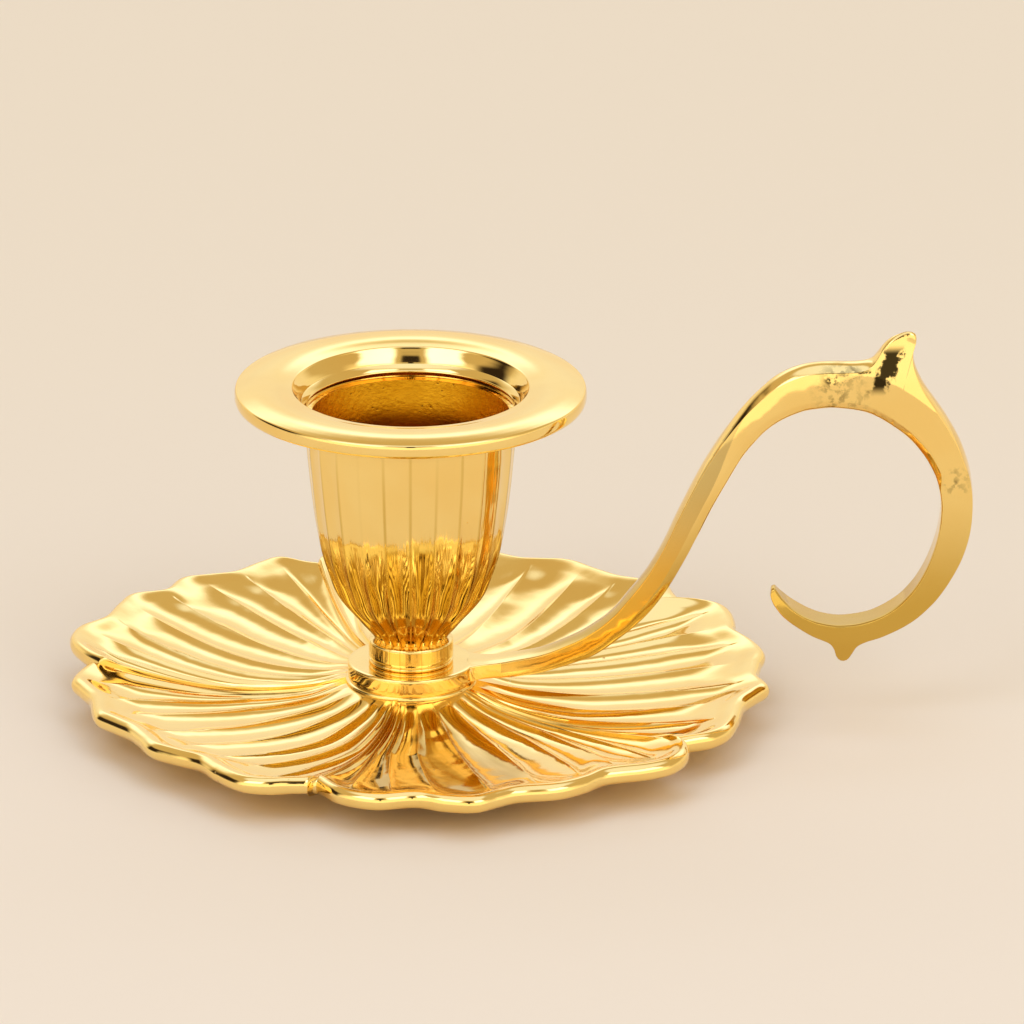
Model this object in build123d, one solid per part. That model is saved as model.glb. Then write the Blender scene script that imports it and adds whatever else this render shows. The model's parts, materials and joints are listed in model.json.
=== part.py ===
from build123d import *
import math
import os

os.makedirs("parts", exist_ok=True)

# All lengths are millimetres. The cup's axis is Z, the table is Z = 0, and the handle runs along +X.

# Heights that stack up from the table
felt_thick = 0.8
hub_height = 4.8
plate_thick = 2.2
hub_top = felt_thick + hub_height
plate_top = hub_top + plate_thick

# Fits and cuts
overrun = 1.0
slide_clearance = 0.05
thread_clearance = 0.04
pass_clearance = 0.2

# Dish
dish_r = 46.0
rim_height = 6.2
rim_round = 1.2
floor_r = 22.0
floor_height = 3.5
floor_thick = 1.7
foot_r = 15.0
pad_r = 8.2
pad_step = 0.55
seam_step = 0.8
channel_depth = 0.45
petal_end_angles = [36.0, 106.5, 168.0, 249.5, 326.0]
seam_turns = [8.0, 6.0, 18.0, 10.0, 5.0]
seam_overlap = 8.0
channels = 9

# Screw and washers
screw_r = 2.0
screw_grip = 4.6
head_r = 3.6
head_height = 1.5
slot_width = 1.0
slot_depth = 0.7
spring_washer_r = 3.7
spring_washer_thick = 0.8
spring_washer_gap = 0.5
plain_washer_r = 4.2
plain_washer_thick = 0.5
recess_r = 5.0
web_thick = 1.5
hole_end = 0.6

# Felt
felt_margin = 0.8

# Handle
plate_r = 7.9
handle_reach = 70.3
handle_rise = 43.6
handle_width = 4.8
handle_edge_r = 0.3

# Candle cup
cup_height = 34.0
cup_foot_r = 5.3
cup_foot_height = 3.0
cup_foot_chamfer = 0.3
foot_groove_height = 0.5
foot_groove_width = 0.2
foot_groove_depth = 0.3
bell_start_r = 4.5
bell_r = 13.1
lip_r = 14.4
socket_r = 11.2
socket_top = 28.0
socket_length = 6.5
cup_floor = 6.4
cup_floor_r = 3.4
seat_depth = 1.2
seat_wall = 0.95
flutes = 24
flute_r = 0.62
flute_cut = 0.28

# Drip ring
flange_r = 22.06
flange_lip = 1.75
flange_edge = 0.45
flange_crease = 0.2
spigot_wall = 0.5
spigot_depth = 0.95
spigot_ledge = 0.7
mouth_r = 14.8
crown_height = 2.75
mouth_height = 2.25
wall_height = 0.4
lip_lift = 0.45
under_rise = 0.95
seat_margin = 1.0

# Outlines, as shares of the sizes that they follow
petal_rim_shares = [
    [(0, 0.904), (0.13, 0.976), (0.284, 0.935), (0.405, 0.983), (0.493, 0.957), (0.643, 0.987), (0.749, 0.954),
     (0.88, 1.0), (1, 0.926)],
    [(0, 0.917), (0.14, 0.987), (0.262, 0.950), (0.40, 0.991), (0.50, 0.957), (0.63, 0.998), (0.74, 0.963),
     (0.87, 0.996), (1, 0.943)],
    [(0, 0.922), (0.11, 0.998), (0.26, 0.959), (0.39, 1.0), (0.488, 0.967), (0.595, 1.0), (0.755, 0.963),
     (0.88, 0.991), (1, 0.922)],
    [(0, 0.891), (0.16, 0.928), (0.27, 0.889), (0.36, 0.909), (0.47, 0.867), (0.60, 0.891), (0.71, 0.867),
     (0.90, 0.922), (1, 0.874)],
    [(0, 0.861), (0.17, 0.946), (0.27, 0.924), (0.395, 0.985), (0.515, 0.930), (0.625, 0.957), (0.72, 0.933),
     (0.855, 0.985), (1, 0.922)],
]
bell_shares = [(0.439, 0.140), (0.517, 0.176), (0.687, 0.256), (0.776, 0.327), (0.837, 0.400), (0.876, 0.474),
               (0.913, 0.553), (0.968, 0.726), (0.992, 0.829), (1.008, 0.924)]
hollow_shares = [(0.91, 0.59), (0.65, 0.17)]
arm_top_shares = [(0.189, 0.016), (0.270, 0.055), (0.353, 0.138), (0.422, 0.278), (0.496, 0.528),
                  (0.569, 0.727), (0.646, 0.865), (0.733, 0.908), (0.804, 0.903)]
spur_left_shares = [(0.845, 0.963), (0.879, 0.998)]
spur_tip_shares = [(0.890, 0.999), (0.8955, 0.985)]
spur_right_shares = [(0.892, 0.940), (0.898, 0.890)]
loop_outer_shares = [(0.953, 0.739), (0.990, 0.603), (1.000, 0.486), (0.983, 0.333), (0.930, 0.193), (0.871, 0.110)]
nub_root_shares = [(0.809, 0.070), (0.748, 0.068)]
nub_shares = [(0.791, 0.050), (0.768, 0.012), (0.757, 0.028)]
loop_end_shares = [(0.713, 0.089), (0.669, 0.135), (0.644, 0.182)]
loop_tip_shares = [(0.640, 0.213), (0.650, 0.215)]
loop_inner_shares = [(0.671, 0.179), (0.714, 0.140), (0.772, 0.122), (0.849, 0.158), (0.909, 0.264), (0.942, 0.424),
                     (0.942, 0.491), (0.919, 0.619), (0.851, 0.732), (0.757, 0.782), (0.661, 0.752),
                     (0.596, 0.649), (0.541, 0.491), (0.486, 0.319), (0.434, 0.167), (0.353, 0.057), (0.270, -0.007)]
arm_under_shares = [(0.189, -0.039)]
root_share = 0.085
inner_share = 0.75
roll_shares = [0, 0.3, 0.55, 0.75, 0.9, 1.1, 1.5, 2.2]
row_count = 13
full_turn = 360.0


def polar(radius, degrees, height=0):
    """Point at a radius and an angle about the cup's axis."""
    return (radius * math.cos(math.radians(degrees)), radius * math.sin(math.radians(degrees)), height)


def save(solid, name):
    """Write one named piece."""
    solid.label = name
    export_step(solid, "parts/" + name + ".step")
    print(name, round(solid.volume, 1))


def chain(points):
    """Straight edges through a list of points."""
    return [Line(a, b) for a, b in zip(points, points[1:])]


# Dish

def petal_angle(petal, share, radius):
    """Angle of a line that runs along a petal, swirling as it nears the hub."""
    start = petal_end_angles[petal - 1]
    end = petal_end_angles[petal]
    if end < start:
        end += 360.0
    inward = 1 - radius / dish_r
    start += seam_turns[petal - 1] * inward
    end += seam_turns[petal] * inward
    return start + (end - start) * share


def bowl(radius):
    """Height of the plain dish before its channels are cut."""
    if radius > floor_r:
        share = (radius - floor_r) / (dish_r - floor_r)
        return floor_height + (rim_height - floor_height) * share ** 2
    share = (floor_r - radius) / (floor_r - pad_r)
    return floor_height + (hub_top - pad_step - floor_height) * share ** 2


def petal_span(petal):
    """Degrees that a petal takes up at the rim."""
    return (petal_end_angles[petal] - petal_end_angles[petal - 1]) % full_turn


def rim_radius(petal, share):
    """Radius of a petal's scalloped rim, which runs on over the next petal past its end."""
    table = petal_rim_shares[petal]
    if share > 1:
        following = (petal + 1) % len(petal_rim_shares)
        beyond = (share - 1) * petal_span(petal) / petal_span(following)
        return max(table[-1][1] * dish_r, rim_radius(following, beyond))
    for (start, low), (end, high) in zip(table, table[1:]):
        if share <= end:
            blend = (share - start) / (end - start)
            return (low + (high - low) * (1 - math.cos(math.pi * blend)) / 2) * dish_r


def petal_height(petal, share, radius):
    """Height of a petal's upper face, which rolls down at the rim."""
    lift = seam_step * share ** 2 * (radius / dish_r) ** 0.35
    reach = (radius - pad_r) / (dish_r - pad_r)
    fade = max(0, 1 - (2 * reach - 1) ** 4) if 0 < reach < 1 else 0
    height = bowl(radius) + lift - channel_depth * fade * math.sin(math.pi * channels * share) ** 2
    past = radius - rim_radius(petal, share) + rim_round
    if past > 0:
        bend = min(past, rim_round * 0.9)
        height -= rim_round - math.sqrt(rim_round ** 2 - bend ** 2) + 2 * (past - bend)
    return height


def petal_cutter(petal):
    """What is cut away above one petal, with a straight wall along the seam where it starts."""
    inner = pad_r * inner_share
    count = channels * 5 + 3
    shares = [(1 + seam_overlap / petal_span(petal)) * i / count for i in range(count + 1)]
    rims = [rim_radius(petal, s) - rim_round for s in shares]
    rows = [[inner + (rim - inner) * row / row_count for rim in rims] for row in range(row_count)]
    rows += [[rim + rim_round * roll for rim in rims] for roll in roll_shares]
    grid = []
    for row in rows:
        grid.append([Vector(polar(r, petal_angle(petal, s, r), petal_height(petal, s, r)))
                     for s, r in zip(shares, row)])
    surface = Face.make_surface_from_array_of_points(grid)
    return extrude(surface, amount=hub_top + plate_thick, dir=(0, 0, 1))


def dish_blank():
    """Turned blank with the scalloped outline, still full height."""
    outer = dish_r + overrun
    under = floor_height - floor_thick
    edge_r = dish_r - 3 * rim_round
    edge = rim_height - 2 * rim_round
    points = [(0, 0, felt_thick), (foot_r, 0, felt_thick), (foot_r + floor_thick, 0, under), (floor_r, 0, under),
              (edge_r, 0, edge), (outer, 0, edge + rim_round), (outer, 0, plate_top), (0, 0, plate_top)]
    profile = make_face(chain(points + [points[0]]))
    blank = revolve(profile, Axis.Z, 360)
    rim = []
    for petal in range(5):
        for i in range(18):
            radius = rim_radius(petal, i / 18)
            rim.append(polar(radius, petal_angle(petal, i / 18, radius)))
    outline = make_face([Spline(rim, periodic=True)])
    return blank & extrude(outline, amount=plate_top + overrun, dir=(0, 0, 1))


def dish():
    """Saucer of five overlapping petals with hub, foot and screw recess."""
    body = dish_blank()
    for petal in range(5):
        body -= petal_cutter(petal)
    middle_r = pad_r * 0.9
    core_z = hub_top - 2 * pad_step
    body -= Pos(0, 0, core_z) * Cylinder(middle_r, plate_top, align=(Align.CENTER, Align.CENTER, Align.MIN))
    pad_z = floor_height
    body += Pos(0, 0, pad_z) * Cylinder(pad_r, hub_top - pad_z, align=(Align.CENTER, Align.CENTER, Align.MIN))
    recess = hub_top - web_thick - felt_thick
    body -= Pos(0, 0, felt_thick - overrun) * Cylinder(recess_r, recess + overrun,
                                                      align=(Align.CENTER, Align.CENTER, Align.MIN))
    body -= Cylinder(screw_r + pass_clearance, 4 * plate_top)
    return body


# Handle

def at_handle(shares):
    """Places on the handle's outline, measured from the axis and the eye plate's top."""
    return [(x * handle_reach, 0, plate_top + z * handle_rise) for x, z in shares]


def handle_outline():
    """Closed outline of arm, loop, thumb spur and nub, seen from the front."""
    root = root_share * handle_reach
    root_top = (root, 0, plate_top - plate_thick * 0.15)
    root_low = (root, 0, plate_top - plate_thick * 0.85)
    top = at_handle(arm_top_shares)
    left = at_handle(spur_left_shares)
    tip = at_handle(spur_tip_shares)
    right = at_handle(spur_right_shares)
    outer = at_handle(loop_outer_shares)
    nub = at_handle(nub_shares)
    end = at_handle(loop_end_shares)
    loop_tip = at_handle(loop_tip_shares)
    inner = at_handle(loop_inner_shares) + at_handle(arm_under_shares)
    before, after = at_handle(nub_root_shares)
    back = Spline([root_top] + top)
    spur = Spline([top[-1]] + left)
    spur_end = ThreePointArc(left[-1], tip[0], tip[1])
    spur_back = Spline([tip[1]] + right)
    round_loop = Spline([right[-1]] + outer + [before])
    nub_start = Spline([before, nub[0]])
    nub_end = ThreePointArc(nub[0], nub[1], nub[2])
    nub_back = Line(nub[2], after)
    tail = Spline([after] + end + [loop_tip[0]])
    tail_end = Line(loop_tip[0], loop_tip[1])
    belly = Spline([loop_tip[1]] + inner + [root_low])
    root_edge = Line(root_low, root_top)
    return [back, spur, spur_end, spur_back, round_loop, nub_start, nub_end, nub_back, tail, tail_end, belly, root_edge]


def eased(body, edges, radius):
    """Body with its edges rounded, or left sharp where a squeezed outline has no room for the radius."""
    try:
        return fillet(edges, radius)
    except ValueError:
        return body


def handle():
    """Eye plate, arm and loop in one casting."""
    face = make_face(handle_outline())
    arm = extrude(face, amount=handle_width / 2, both=True)
    sides = [e for e in arm.edges() if abs(e.center().Y) > handle_width * 0.49]
    arm = eased(arm, sides, handle_edge_r)
    plate = Pos(0, 0, hub_top) * Cylinder(plate_r, plate_thick, align=(Align.CENTER, Align.CENTER, Align.MIN))
    body = arm + plate
    body -= Cylinder(screw_r + pass_clearance, 4 * plate_top)
    return body


# Candle cup

def at_cup(shares, radius):
    """Places on the cup's outline, measured from its foot."""
    return [(r * radius, 0, plate_top + z * cup_height) for r, z in shares]


def bell_curve():
    """Outside of the bell from the foot band to below the lip."""
    start = (bell_start_r, 0, plate_top + cup_foot_height)
    return Spline([start] + at_cup(bell_shares, bell_r) + [(lip_r, 0, plate_top + cup_height)])


def cup_foot():
    """Plain band under the bell, with a groove turned into it."""
    groove_low = plate_top + foot_groove_height
    groove_top = groove_low + foot_groove_width
    groove_r = cup_foot_r - foot_groove_depth
    top = plate_top + cup_foot_height
    return chain([(0, 0, plate_top), (cup_foot_r - cup_foot_chamfer, 0, plate_top),
                  (cup_foot_r, 0, plate_top + cup_foot_chamfer), (cup_foot_r, 0, groove_low), (groove_r, 0, groove_low),
                  (groove_r, 0, groove_top), (cup_foot_r, 0, groove_top), (cup_foot_r, 0, top), (bell_start_r, 0, top)])


def candle_cup():
    """Fluted bell with its foot, candle socket, ring seat and screw hole."""
    seat_r = lip_r - seat_wall
    top = plate_top + cup_height
    seat_z = top - seat_depth
    socket_z = plate_top + socket_top
    low = socket_z - socket_length
    floor = plate_top + cup_floor
    inside = [(lip_r, 0, top), (seat_r, 0, top), (seat_r, 0, seat_z), (seat_r - spigot_wall * 2, 0, seat_z),
              (socket_r, 0, socket_z), (socket_r, 0, low)]
    bends = [(socket_r * r, 0, floor + (low - floor) * z) for r, z in hollow_shares]
    hollow = Spline([inside[-1]] + bends + [(cup_floor_r, 0, floor)])
    edges = cup_foot() + [bell_curve()] + chain(inside) + [hollow]
    edges += chain([(cup_floor_r, 0, floor), (0, 0, floor), (0, 0, plate_top)])
    body = revolve(make_face(edges), Axis.Z, 360)
    bell = at_cup(bell_shares, bell_r)
    out = flute_r - flute_cut
    path = Spline([(bell_start_r + out * 1.6, 0, plate_top + cup_foot_height + out * 0.4)]
                  + [(p[0] + out * 0.9, 0, p[2] - out * 0.5) for p in bell[1:8]]
                  + [(bell_r + flute_r + flute_cut, 0, plate_top + cup_height * 0.9)])
    cutter = sweep(Plane(origin=path @ 0, z_dir=path % 0) * Circle(flute_r), path)
    for i in range(flutes):
        body -= Rot(0, 0, 360.0 * (i + 0.5) / flutes) * cutter
    body -= Pos(0, 0, plate_top - overrun) * Cylinder(screw_r + thread_clearance, screw_grip + hole_end + overrun,
                                                      align=(Align.CENTER, Align.CENTER, Align.MIN))
    return body


def drip_ring():
    """Turned flange with a short spigot that drops into the cup's mouth."""
    seat_r = lip_r - seat_wall
    outer = seat_r - slide_clearance
    inner = outer - spigot_wall
    top = plate_top + cup_height
    low_lip = top + lip_lift
    start = (flange_r - flange_edge, 0, low_lip)
    rim = ThreePointArc(start, (flange_r - flange_edge * 0.3, 0, low_lip + flange_edge * 0.3),
                        (flange_r, 0, low_lip + flange_edge))
    edge = chain([rim @ 1, (flange_r, 0, low_lip + flange_lip - flange_edge),
                  (flange_r - flange_crease, 0, low_lip + flange_lip)])
    crown = ThreePointArc(edge[-1] @ 1, ((flange_r + mouth_r) / 2, 0, top + crown_height),
                          (mouth_r, 0, top + mouth_height))
    wall = ThreePointArc(crown @ 1, (inner + spigot_ledge * 1.2, 0, top + mouth_height * 0.6),
                         (inner + spigot_ledge, 0, top + wall_height))
    ledge = chain([wall @ 1, (inner, 0, top - spigot_ledge * 0.3), (inner, 0, top - spigot_depth),
                   (outer, 0, top - spigot_depth), (outer, 0, top), (lip_r + seat_margin, 0, top)])
    under = ThreePointArc((lip_r + seat_margin, 0, top), ((flange_r + lip_r) / 2, 0, top + under_rise), start)
    return revolve(make_face([rim] + edge + [crown, wall] + ledge + [under]), Axis.Z, 360)


# Screw, washers and felt

def clamp_screw():
    """Slotted screw that holds dish, eye plate and cup together."""
    seat = hub_top - web_thick - plain_washer_thick - spring_washer_thick
    low = seat - head_height
    head = Pos(0, 0, low) * Cylinder(head_r, head_height, align=(Align.CENTER, Align.CENTER, Align.MIN))
    head = fillet(head.edges().sort_by(Axis.Z)[0], head_height * 0.5)
    tip = plate_top + screw_grip
    shank = Pos(0, 0, low) * Cylinder(screw_r, tip - low, align=(Align.CENTER, Align.CENTER, Align.MIN))
    shank = chamfer(shank.edges().sort_by(Axis.Z)[-1], screw_r * 0.2)
    body = head + shank
    body -= Pos(0, 0, low - overrun) * Box(4 * head_r, slot_width, slot_depth + overrun,
                                           align=(Align.CENTER, Align.CENTER, Align.MIN))
    return body


def plain_washer():
    """Flat washer against the dish's web."""
    low = hub_top - web_thick - plain_washer_thick
    ring = Cylinder(plain_washer_r, plain_washer_thick, align=(Align.CENTER, Align.CENTER, Align.MIN))
    ring -= Cylinder(screw_r + pass_clearance, 4 * plain_washer_thick)
    return Pos(0, 0, low) * ring


def spring_washer():
    """Split spring washer, drawn flat as it is when tight."""
    low = hub_top - web_thick - plain_washer_thick - spring_washer_thick
    ring = Cylinder(spring_washer_r, spring_washer_thick, align=(Align.CENTER, Align.CENTER, Align.MIN))
    ring -= Cylinder(screw_r + pass_clearance, 4 * spring_washer_thick)
    ring -= Pos(spring_washer_r, 0, 0) * Rot(25, 0, 0) * Box(2 * screw_r, spring_washer_gap, 4 * spring_washer_thick)
    return Pos(0, 0, low) * ring


def felt_pad():
    """Felt disc glued under the foot."""
    return Cylinder(foot_r - felt_margin, felt_thick, align=(Align.CENTER, Align.CENTER, Align.MIN))


if __name__ == "__main__":
    save(felt_pad(), "felt_pad")
    save(clamp_screw(), "clamp_screw")
    save(spring_washer(), "spring_washer")
    save(plain_washer(), "plain_washer")
    save(drip_ring(), "drip_ring")
    save(candle_cup(), "candle_cup")
    save(handle(), "handle")
    save(dish(), "dish")
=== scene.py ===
import json
import math
from collections import namedtuple

import bpy
from bpy.props import FloatProperty, FloatVectorProperty, IntProperty, PointerProperty
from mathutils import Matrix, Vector, noise

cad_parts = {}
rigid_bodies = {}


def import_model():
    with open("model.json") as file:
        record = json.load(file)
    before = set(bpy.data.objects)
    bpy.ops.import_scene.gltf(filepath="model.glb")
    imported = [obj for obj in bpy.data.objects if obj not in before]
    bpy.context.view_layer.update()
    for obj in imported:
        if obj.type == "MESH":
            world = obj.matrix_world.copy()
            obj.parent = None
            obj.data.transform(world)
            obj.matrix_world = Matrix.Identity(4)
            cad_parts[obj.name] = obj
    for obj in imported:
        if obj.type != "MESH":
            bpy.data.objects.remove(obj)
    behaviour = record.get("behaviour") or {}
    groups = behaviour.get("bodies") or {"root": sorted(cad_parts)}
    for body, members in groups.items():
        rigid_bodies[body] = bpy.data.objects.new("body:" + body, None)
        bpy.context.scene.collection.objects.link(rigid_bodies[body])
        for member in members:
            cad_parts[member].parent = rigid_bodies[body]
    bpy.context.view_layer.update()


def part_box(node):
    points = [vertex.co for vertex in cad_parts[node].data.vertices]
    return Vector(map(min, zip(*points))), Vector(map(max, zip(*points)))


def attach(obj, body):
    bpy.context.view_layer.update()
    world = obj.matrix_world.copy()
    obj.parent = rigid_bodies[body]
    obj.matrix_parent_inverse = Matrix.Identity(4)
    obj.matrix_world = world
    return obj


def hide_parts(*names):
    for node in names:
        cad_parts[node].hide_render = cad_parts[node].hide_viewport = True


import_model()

bl_info = {
    "name": "Chamberstick",
    "version": (1, 0, 0),
    "blender": (4, 5, 0),
    "location": "3D View > Sidebar > Chamberstick",
    "description": "Petal saucer, fluted cup, drip ring and finger loop of a brass chamberstick",
    "category": "Add Mesh",
}

MM = 0.001
PIXELS_PER_METRE = 8000.0
IMAGE_WIDTH = 1024.0


# Sizes and colours

def length(name, description, millimetres):
    return FloatProperty(name=name, description=description, default=millimetres * MM,
                         unit="LENGTH", precision=5)


def share(name, description, value):
    return FloatProperty(name=name, description=description, default=value, subtype="FACTOR")


def colour(name, description, rgb, brightest=1.0):
    return FloatVectorProperty(name=name, description=description, default=rgb,
                               subtype="COLOR", size=3, min=0.0, max=brightest)


class DishSizes(bpy.types.PropertyGroup):
    radius: length("Radius", "Radius to which the seams' turns are measured", 44.0)
    rim_height: length("Rim height", "Mean height of the rim's top above the table", 6.25)
    rim_round: length("Rim round", "Radius of the rolled edge", 1.15)
    floor_radius: length("Floor radius", "Radius where the dish is lowest", 22.0)
    floor_height: length("Floor height", "Height of the lowest ring above the table", 3.5)
    thickness: length("Thickness", "Thickness of the casting", 1.7)
    foot_radius: length("Foot radius", "Radius of the foot under the hub", 15.0)
    pad_radius: length("Pad radius", "Radius of the raised pad under the eye plate", 8.2)
    seam_step: length("Seam step", "How far a petal's end stands over the next petal", 0.8)
    channel_depth: length("Channel depth", "Depth of the channels between the ridges", 0.5)
    spread: share("Spread", "How far the ridges spread to the seams towards the hub", 0.225)


class HandleSizes(bpy.types.PropertyGroup):
    plate_radius: length("Plate radius", "Radius of the eye plate", 7.9)
    plate_edge: length("Plate edge", "Rounding of the eye plate's edge", 0.18)
    width: length("Width", "Width of the loop across the finger", 4.8)
    neck_width: length("Neck width", "Width of the arm beside the eye plate", 3.8)


class CupSizes(bpy.types.PropertyGroup):
    foot_radius: length("Foot radius", "Radius of the plain band", 5.3)
    foot_height: length("Foot height", "Height of the plain band", 3.0)
    foot_chamfer: length("Foot chamfer", "Chamfer under the band", 0.3)
    flute_depth: length("Flute depth", "Depth of the flutes low on the bell", 0.50)
    facet_depth: length("Facet depth", "Depth of the flutes high on the bell", 0.22)
    flutes: IntProperty(name="Flutes", description="Flutes round the bell", default=24)


class RingSizes(bpy.types.PropertyGroup):
    radius: length("Radius", "Outer radius of the flange", 22.0)
    mouth: length("Mouth", "Radius of the mouth's edge", 14.8)


class Finishes(bpy.types.PropertyGroup):
    gold: colour("Gold", "Polished gold plating", (1.0, 0.745, 0.27))
    cast_gold: colour("Cast gold", "Unpolished casting inside the cup", (0.66, 0.35, 0.018))
    # Painted reflections: a darker gold where the gold reflects the dish or the cup, low on the
    # cup, low on the arm and in the dish's fan.
    deep_gold: colour("Deep gold", "Gold low on the cup and the arm", (0.60, 0.37, 0.05))
    # Painted reflection on the arm: a darker band on its sides, darker still near the dish.
    arm_gold: colour("Arm band", "Darker gold along the arm's outer part", (0.70, 0.53, 0.20))
    arm_deep: colour("Arm band low", "The same band near the dish", (0.90, 0.46, 0.03))
    steel: colour("Steel", "Zinc plated screw and washers", (0.60, 0.60, 0.58))
    felt: colour("Felt", "Felt under the foot", (0.035, 0.07, 0.04))
    polish: share("Polish", "Roughness of the polished faces", 0.06)


class StageSettings(bpy.types.PropertyGroup):
    floor: colour("Floor", "Paper sweep and the walls round it", (0.90, 0.80, 0.635))
    gap: colour("Gaps", "Walls between the softboxes", (0.60, 0.475, 0.29))
    box_tint: colour("Softbox tint", "Colour of the softboxes", (1.0, 1.07, 1.35), 2.0)
    box_level: FloatProperty(name="Softbox level", description="Brightness of the softboxes",
                             default=2.0)
    pitch: FloatProperty(name="Pitch", description="How far the camera looks down",
                         default=math.radians(19.9), subtype="ANGLE")
    distance: FloatProperty(name="Distance", description="Distance of the camera",
                            default=3.0, unit="LENGTH")
    scale: FloatProperty(name="Scale", description="Image widths per metre at the object",
                         default=PIXELS_PER_METRE / IMAGE_WIDTH)


# Shaders

class Value:
    """A number or socket in a shader, so that shader maths reads as Python."""

    def __init__(self, shader, socket):
        self.shader = shader
        self.socket = socket

    def _math(self, operation, *values):
        return self.shader.node("ShaderNodeMath", {"operation": operation}, *values)

    def __add__(self, other):
        return self._math("ADD", self, other)

    def __sub__(self, other):
        return self._math("SUBTRACT", self, other)

    def __rsub__(self, other):
        return self._math("SUBTRACT", other, self)

    def __mul__(self, other):
        return self._math("MULTIPLY", self, other)

    def __truediv__(self, other):
        return self._math("DIVIDE", self, other)

    def __abs__(self):
        return self._math("ABSOLUTE", self)

    __radd__ = __add__
    __rmul__ = __mul__

    def fraction(self):
        return self._math("FRACT", self)

    def clamp(self):
        return self._math("MINIMUM", self._math("MAXIMUM", self, 0.0), 1.0)

    def step(self, low, high):
        """Smooth step between two values."""
        return self.shader.node("ShaderNodeMapRange", {"interpolation_type": "SMOOTHSTEP"},
                                self, low, high, 0.0, 1.0)

    def between(self, rise, fall):
        """One between two smooth steps, up over the first pair and down over the second."""
        return self.step(*rise) * (1.0 - self.step(*fall))


class Shader:
    """A node tree that is filled with short calls."""

    def __init__(self, tree):
        self.tree = tree
        tree.nodes.clear()

    def node(self, kind, settings=None, *values, output=0, **named):
        """Add a node: its settings first, then the values or links of its sockets."""
        made = self.tree.nodes.new(kind)
        for key, value in (settings or {}).items():
            setattr(made, key, value)
        sockets = [s for s in made.inputs if s.enabled]
        for socket, value in zip(sockets, values):
            self.feed(socket, value)
        for name, value in named.items():
            self.feed(made.inputs[name.replace("_", " ")], value)
        outputs = [s for s in made.outputs if s.enabled]
        return Value(self, outputs[output]) if outputs else made

    def feed(self, socket, value):
        """Link a value to a socket, or set it."""
        if isinstance(value, Value):
            self.tree.links.new(value.socket, socket)
        elif socket.type == "RGBA" and len(value) == 3:
            socket.default_value = (*value, 1.0)
        else:
            socket.default_value = value

    def place(self):
        """Place on the piece, in metres."""
        return self.node("ShaderNodeTexCoord", output=3)

    def split(self, vector):
        """The three values of a vector."""
        first = self.node("ShaderNodeSeparateXYZ", None, vector)
        return [Value(self, socket) for socket in first.socket.node.outputs]

    def join(self, x, y):
        """A flat vector of two values."""
        return self.node("ShaderNodeCombineXYZ", None, x, y, 0.0)

    def mix(self, factor, a, b):
        """Mix two colours."""
        return self.node("ShaderNodeMix", {"data_type": "RGBA"}, factor, a, b)

    def noise(self, where, scale=1.0, detail=2.0, roughness=0.5):
        return self.node("ShaderNodeTexNoise", {"normalize": True},
                         where, scale, detail, roughness)

    def cells(self, where, scale):
        """How far a place is from the middle of its cell."""
        return self.node("ShaderNodeTexVoronoi", {"feature": "F1"}, where, scale)

    def surface(self, strength=0.0, depth=0.0, height=None, **named):
        """Close the tree with a surface and its bump: strength, depth in metres and height."""
        if height:
            named["Normal"] = self.node("ShaderNodeBump", None, strength, depth, Height=height)
        made = self.node("ShaderNodeBsdfPrincipled", None, **named)
        self.node("ShaderNodeOutputMaterial", None, made)


def new_material(name):
    material = bpy.data.materials.new(name)
    material.use_nodes = True
    return material, Shader(material.node_tree)


def toned(tint, *shares):
    """A colour times one share, or times a share each for red, green and blue."""
    return tuple(c * k for c, k in zip(tint, shares * 3 if len(shares) == 1 else shares))


def round_axis(shader, place):
    """Angle about the upright axis and height of a place, as two values."""
    x, y, z = shader.split(place)
    return shader.node("ShaderNodeMath", {"operation": "ARCTAN2"}, x, 0.0 - y), z


def ball(out, up, x, z, radius):
    """One near a place of the middle plane, falling to nothing at the radius."""
    far = ((out - x) * (out - x) + (up - z) * (up - z)) / (radius * radius)
    return 1.0 - far.step(0.3, 1.0)


# Finishes

PIT_TONE = (0.30, 0.13, 0.03)
# Near-black of the handle's painted dark reflections.
DARK_REFLECTION_TONE = (0.012, 0.007, 0.002)
FLUTES_PER_RADIAN = 12.0 / math.pi
# Places in metres where a tone comes in and where it goes out again: heights of the cup's streaks,
# and of its painted reflection of the dish, a darker gold.
STREAKS_IN, STREAKS_OUT = (0.018, 0.021), (0.029, 0.036)
CUP_REFLECTION_IN, CUP_REFLECTION_OUT = (0.0108, 0.0118), (0.0245, 0.0285)
# The dish's fan, a painted reflection of the cup, from the rim to the hub: along it and over its
# edge, then half its width at the cup's axis, how fast it widens to the front, and how far it leans
# to one side.
FAN_IN, FAN_OUT, FAN_EDGE = (-0.041, -0.037), (-0.0115, -0.0075), (-0.003, 0.002)
FAN_WIDTH, FAN_SPREAD, FAN_SHIFT, FAN_LEAN = 0.0032, 0.24, 0.0002, 0.08
# The arm's painted reflection of the dish, a darker gold, out from the cup and up; painted dark
# reflections on bend and loop: out, up, reach.
ARM_IN, ARM_OUT = (0.011, 0.020), (0.014, 0.034)
BEND_DARK_REFLECTION, LOOP_DARK_REFLECTION = (0.0537, 0.0440, 0.0042), (0.0682, 0.0322, 0.0022)
# The jagged band under the spur, a painted dark reflection: its lean, then across it and up along
# it.
BAND_LEAN = 0.42
ACROSS_IN, ACROSS_OUT = (0.0384, 0.0390), (0.0404, 0.0409)
UP_IN, UP_OUT = (0.0435, 0.0450), (0.0488, 0.0500)

Grain = namedtuple("Grain", "shader place fine speck sparse")


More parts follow.
